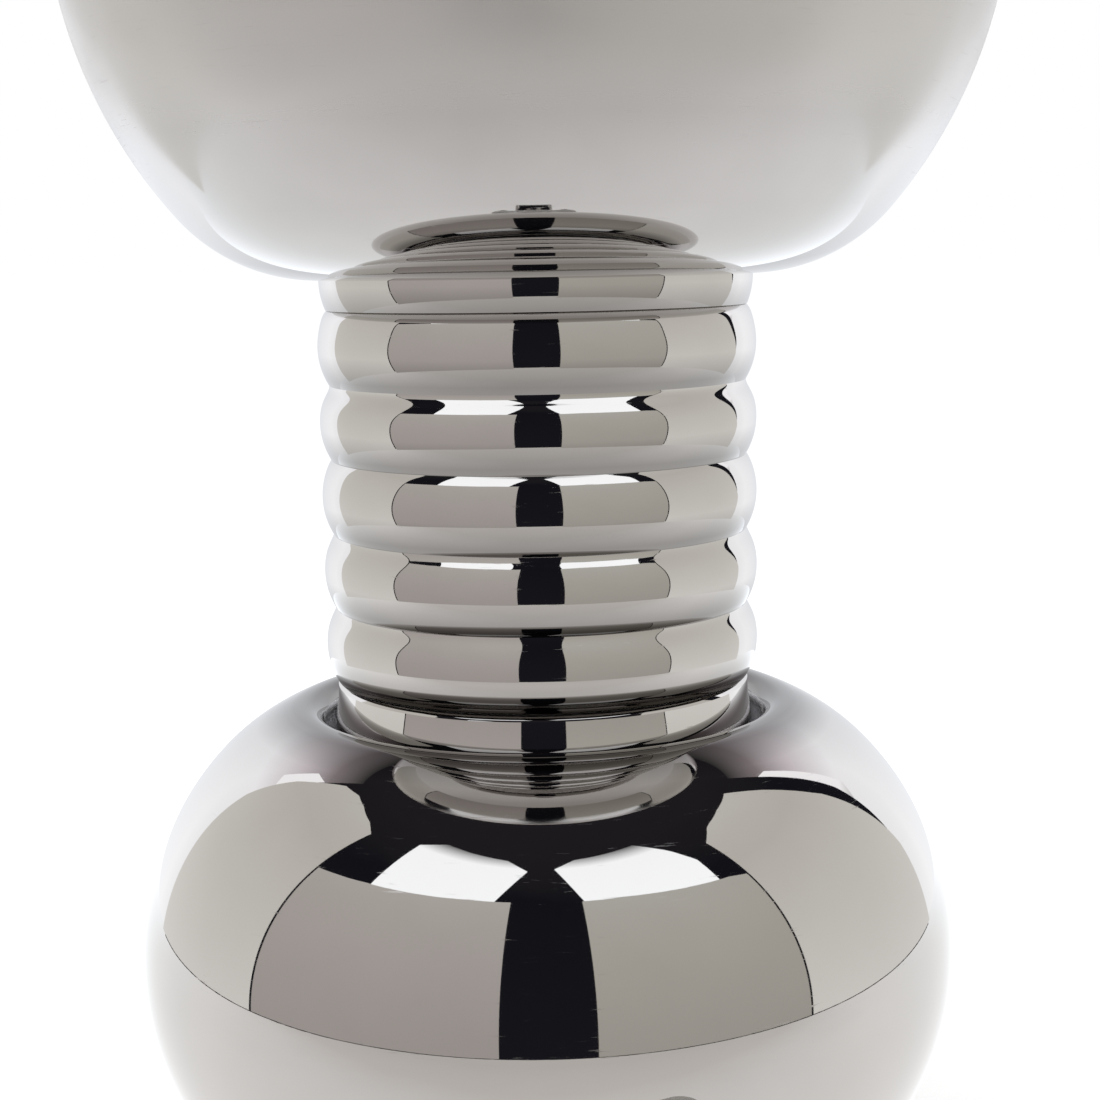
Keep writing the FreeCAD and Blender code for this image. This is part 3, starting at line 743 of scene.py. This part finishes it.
def coinKnob():
    low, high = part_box("coin_knob")
    seat, tip, height = high.y / mm, low.y / mm, (low.z + high.z) / 2 / mm
    edgeAt = (knob["bossR"] - knob["bossEdge"], knob["bossDeep"] - knob["bossEdge"])
    profile = ([(knob["boreR"], 0), (knob["bossR"], 0), (knob["bossR"], edgeAt[1])]
               + arc(*edgeAt, knob["bossEdge"], 0, 90, 9)
               + [(knob["neckR"] + knob["fillet"], knob["bossDeep"]),
                  (knob["neckR"], knob["bossDeep"] + knob["fillet"]),
                  (knob["neckR"], knob["neckDeep"]), (knob["boreR"], knob["neckDeep"])])
    boss = turned("knobBoss", profile, None, 96, 40)
    boss.data.transform(Matrix.Translation((0, seat * mm, height * mm)) @ Matrix.Rotation(rad(90), 4, "X"))
    wing = knobWing(seat - knob["wingBack"], tip, height)
    grip = joined("coinKnob", (boss, wing), fittingSteel, 35)
    return standFor(grip, "coin_knob", "coin_drive")


coinKnob()
print("coin knob made")


pad = dict(footR=7.2, soleR=5.4, edgeAt=(5.5, 0.8), edgeR=0.8, tall=4.0)


def rubberFeet():
    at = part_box("rubber_feet")[1].x / mm - pad["footR"]
    profile = ([(0, 0), (pad["soleR"], 0)] + arc(*pad["edgeAt"], pad["edgeR"], -90, -8, 12)
               + [(pad["footR"], pad["tall"]), (0, pad["tall"])])
    parts = []
    for sx, sy in ((1, 1), (-1, 1), (-1, -1), (1, -1)):
        part = turned("foot", profile, rubber, 48, 40)
        part.data.transform(Matrix.Translation((sx * at * mm, sy * at * mm, 0)))
        parts.append(part)
    feet = joined("rubberFeet", parts, rubber, 40)
    return standFor(feet, "rubber_feet", "machine")


rubberFeet()
print("feet made")


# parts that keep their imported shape, by finish
keptFinish = {
    fittingSteel: ("chute_flap", "plate_screws"),
    silverPaint: ("coin_housing", "coin_plate"),
    plainSteel: ("bottom_plate", "bottom_screws", "neck_tube", "ring_nut", "wheel_deck", "deck_posts",
                 "bearing_plate", "coin_shaft", "wheel_spindle", "spindle_nut", "ball_shield", "chute",
                 "shaft_clip", "flap_pin"),
    rubber: ("base_gasket", "bowl_gasket", "globe_gasket", "lid_gasket"),
    whitePlastic: ("dispensing_wheel", "crown_gear", "agitator", "thrust_washer"),
    brass: ("drive_pinion", "coin_drum"),
}
for look, names in keptFinish.items():
    for name in names:
        mesh = nodes[name].data
        mesh.materials.clear()
        mesh.materials.append(look)
print("finishes set")


# studio: glowing cards that only reflections see, at heights counted from the eye
studio = dict(wall=0.49, boxWall=0.5, roomWall=0.56, glowWall=0.6, backWall=0.62, roomBackWall=0.64,
              ceilingR=0.66, overheadR=0.2, unit=0.05, steel=(0.50, 0.477, 0.458), foot=-4.42, ground=-4.7,
              roomFoot=-4.8, backTop=14, roomTop=18, ceiling=17.5, overhead=17.3, cardStep=1.5,
              floorHalf=30.0, aim=(0, 0, 0.25))


def lightOf(tone):
    # light that a card has to give for polished steel to show this tone
    linear = [((c / 255 + 0.055) / 1.055) ** 2.4 for c in tone]
    return tuple(v / s for v, s in zip(linear, studio["steel"]))


def tones(*stops):
    return [(at, lightOf(tone)) for at, tone in stops]


def cardMaterial(name, stops, axis=2, low=0.0, high=1.0, cloudy=0.0, middle=None):
    # plain glowing card whose tone runs through a few stops along one axis; middle is
    # (reach, shade): how far out from the centre plane the card is dimmer, and by how much
    mat = bpy.data.materials.new(name)
    mat.use_nodes = True
    tree = mat.node_tree
    tree.nodes.clear()
    out = tree.nodes.new("ShaderNodeOutputMaterial")
    glow = tree.nodes.new("ShaderNodeEmission")
    tree.links.new(glow.outputs[0], out.inputs["Surface"])
    place = tree.nodes.new("ShaderNodeTexCoord").outputs["Object"]
    split = tree.nodes.new("ShaderNodeSeparateXYZ")
    tree.links.new(place, split.inputs[0])
    span = tree.nodes.new("ShaderNodeMapRange")
    span.inputs["From Min"].default_value = low
    span.inputs["From Max"].default_value = high
    tree.links.new(split.outputs[axis], span.inputs["Value"])
    where = span.outputs["Result"]
    if cloudy:
        drift = maths(tree, "MULTIPLY", maths(tree, "SUBTRACT", noise(tree, place, 5, 3), 0.5), cloudy)
        where = maths(tree, "ADD", where, drift)
    color = ramp(tree, where, stops)
    if middle:
        wide, shade = middle
        aside = maths(tree, "DIVIDE", maths(tree, "ABSOLUTE", split.outputs[0]), wide)
        color = times(tree, color, ramp(tree, aside, [(0.0, shade), (0.45, shade * 1.15), (1.0, 1.0)]))
    tree.links.new(color, glow.inputs["Color"])
    return mat


def eyeZ(steps):
    return view["eye"] + studio["unit"] * steps


def onlyReflected(obj):
    obj.visible_camera = False
    obj.visible_diffuse = False
    obj.visible_transmission = False
    obj.visible_shadow = False
    return obj


def card(name, bottom, top, mat, radius=None):
    # curved card round the machine; bottom and top are (azimuth, height) lists, azimuth 0 in front
    radius = radius or studio["wall"]
    first, last = top[0][0], top[-1][0]
    count = max(8, int(abs(last - first) / studio["cardStep"]))
    verts, faces = [], []
    for i in range(count + 1):
        az = first + (last - first) * i / count
        for edge in (bottom, top):
            z = np.interp(az, [p[0] for p in edge], [p[1] for p in edge])
            verts.append((radius * math.sin(rad(az)), -radius * math.cos(rad(az)), eyeZ(z)))
    for i in range(count):
        faces.append((2 * i, 2 * i + 2, 2 * i + 3, 2 * i + 1))
    return onlyReflected(newObject(name, verts, faces, mat))


def disc(name, radius, steps, mat):
    rim = [(radius * math.cos(rad(a)), radius * math.sin(rad(a)), eyeZ(steps)) for a in range(0, 360, 10)]
    return onlyReflected(newObject(name, rim, [tuple(range(len(rim)))], mat))


def greyCards():
    # the panels at both sides of the lens, with a dark gap between them
    foot, ground = studio["foot"], eyeZ(studio["ground"])
    left = cardMaterial("cardFrontLeft", tones((0.0, (150, 143, 139)), (0.5, (158, 151, 147)),
                                               (1.0, (166, 161, 155))),
                        low=ground, high=eyeZ(6.2), cloudy=0.25)
    right = cardMaterial("cardFrontRight", tones((0.0, (149, 144, 137)), (0.5, (158, 153, 145)),
                                                 (1.0, (165, 162, 155))),
                         low=ground, high=eyeZ(6.2), cloudy=0.25)
    side = cardMaterial("cardSide", tones((0.0, (198, 194, 189)), (0.3, (186, 182, 176)),
                                          (0.65, (174, 169, 162)), (1.0, (180, 176, 170))),
                        low=ground, high=eyeZ(11), cloudy=0.1)
    card("frontLeft", [(-77.2, foot), (-11.4, foot)],
         [(-77.2, 4.0), (-60, 4.9), (-40, 5.6), (-25, 6.05), (-11.4, 6.2)], left)
    card("frontRight", [(11.4, foot), (65.9, foot)],
         [(11.4, 6.2), (25, 6.1), (40, 5.6), (60, 4.8), (65.9, 4.3)], right)
    card("sideLeft", [(-123, foot), (-77.9, foot)],
         [(-123, 5.0), (-119, 9), (-110, 10.6), (-100, 10.9), (-86, 10.4), (-77.9, 9.4)], side)
    card("sideRight", [(66.5, foot), (121, foot)],
         [(66.5, 9.0), (75, 10.6), (90, 11.4), (106, 11.4), (110, 8), (113, 4), (121, -1.8)], side)


def brightCards():
    # two softboxes above the panels, the backdrop behind the machine and a streak at each edge of it
    white = cardMaterial("softbox", [(0.0, (1.84, 1.93, 2.03)), (0.7, (1.8, 1.88, 1.98)),
                                     (1.0, (0.1, 0.1, 0.1))],
                         low=eyeZ(5), high=eyeZ(15.2))
    card("softboxLeft", [(-58, 4.9), (-50, 5.2), (-17, 6.2), (-7.5, 11.5)],
         [(-58, 12.5), (-48, 15), (-17, 14), (-7.5, 11.6)], white, studio["boxWall"])
    card("softboxRight", [(3.5, 12), (12.5, 6.1), (57, 4.6)],
         [(3.5, 12.1), (12.5, 14.2), (42, 15), (52, 11), (57, 8)], white, studio["boxWall"])
    ground, top = studio["ground"], studio["backTop"]
    back = cardMaterial("backdropGlow", [(0.0, (1.5, 1.54, 1.6)), (0.42, (1.5, 1.54, 1.62)),
                                         (0.6, (1.05, 1.0, 1.08)), (0.8, (0.36, 0.32, 0.34)),
                                         (1.0, (0.05, 0.05, 0.05))],
                        low=eyeZ(ground), high=eyeZ(top), middle=(0.46, 0.52))
    card("backdropGlow", [(121, ground), (238, ground)], [(121, top), (238, top)], back, studio["backWall"])
    streak = cardMaterial("edgeGlow", [(0.0, (0.4, 0.4, 0.4)), (0.2, (1.6, 1.62, 1.7)),
                                       (1.0, (1.6, 1.62, 1.7))],
                          low=eyeZ(1), high=eyeZ(10))
    wall = studio["glowWall"]
    card("edgeGlowLeft", [(-129, 5.2), (-123, 4.6)], [(-129, 8.2), (-123, 9.2)], streak, wall)
    card("edgeGlowRight", [(120, 1.5), (125.5, 2.5)], [(120, 10.4), (125.5, 9.2)], streak, wall)
    overhead = cardMaterial("overheadGlow", [(0.0, (0.35, 0.35, 0.37)), (0.5, (0.75, 0.76, 0.8)),
                                             (1.0, (0.4, 0.4, 0.42))],
                            axis=1, low=-0.22, high=0.22, cloudy=0.3)
    disc("overheadGlow", studio["overheadR"], studio["overhead"], overhead)


def darkRoom():
    # unlit room behind the cards, and its ceiling
    dark = cardMaterial("darkRoom", [(0.0, (0.016, 0.016, 0.022)), (0.55, (0.012, 0.012, 0.018)),
                                     (0.7, (0.02, 0.019, 0.023)), (1.0, (0.024, 0.022, 0.027))],
                        low=0, high=1.12, cloudy=0.2)
    low, top = studio["roomFoot"], studio["roomTop"]
    card("darkRoom", [(-122, low), (121, low)], [(-122, top), (121, top)], dark, studio["roomWall"])
    card("darkRoomBack", [(121, 13.8), (238, 13.8)], [(121, top), (238, top)], dark, studio["roomBackWall"])
    disc("darkCeiling", studio["ceilingR"], studio["ceiling"], dark)


def studioFloor():
    # a glowing ground for the reflections, and the pale floor that the machine stands on
    size, low = studio["floorHalf"], eyeZ(studio["ground"])
    ground = cardMaterial("floorGlow", tones((0.0, (172, 167, 162)), (0.12, (179, 174, 170)),
                                             (0.2, (193, 189, 186)), (0.28, (203, 199, 196)),
                                             (0.45, (210, 208, 206)), (0.7, (232, 232, 234)))
                          + [(1.0, (1.6, 1.6, 1.64))],
                          axis=1, low=-0.45, high=1.0, cloudy=0.06)
    corners = ((-size, -size), (size, -size), (size, size), (-size, size))
    onlyReflected(newObject("floorGlow", [(x, y, low) for x, y in corners], [(0, 1, 2, 3)], ground))
    mat, tree, shader, place = material("paleFloor")
    scuffs = noise(tree, place, 4, 3)
    tree.links.new(ramp(tree, scuffs, [(0.3, 0.90), (0.7, 0.93)]), shader.inputs["Base Color"])
    shader.inputs["Roughness"].default_value = 0.9
    shader.inputs["Specular IOR Level"].default_value = 0.0
    shader.inputs["Emission Color"].default_value = (1, 1, 1, 1)
    shader.inputs["Emission Strength"].default_value = 0.11
    floor = newObject("floor", [(x, y, 0.0) for x, y in corners], [(0, 1, 2, 3)], mat)
    floor.visible_glossy = False


def studioLights():
    world = bpy.data.worlds.new("paleRoom")
    bpy.context.scene.world = world
    world.use_nodes = True
    background = world.node_tree.nodes["Background"]
    background.inputs["Color"].default_value = (1.0, 1.0, 1.0, 1)
    background.inputs["Strength"].default_value = 1.0
    lights = dict(
        keyLeft=dict(place=(-0.9, -0.9, 1.3), size=0.8, power=9.0),
        fillRight=dict(place=(1.1, -0.5, 0.9), size=0.9, power=5.0),
    )
    for name, light in lights.items():
        data = bpy.data.lights.new(name, "AREA")
        data.shape = "DISK"
        data.size = light["size"]
        data.energy = light["power"]
        lamp = bpy.data.objects.new(name, data)
        bpy.context.scene.collection.objects.link(lamp)
        lamp.location = light["place"]
        aim = Vector(studio["aim"]) - Vector(light["place"])
        lamp.rotation_euler = aim.to_track_quat("-Z", "Y").to_euler()
        lamp.visible_glossy = False


greyCards()
brightCards()
darkRoom()
studioFloor()
studioLights()
bpy.context.scene.view_settings.view_transform = "Standard"
bpy.context.scene.view_settings.look = "None"
print("studio made")
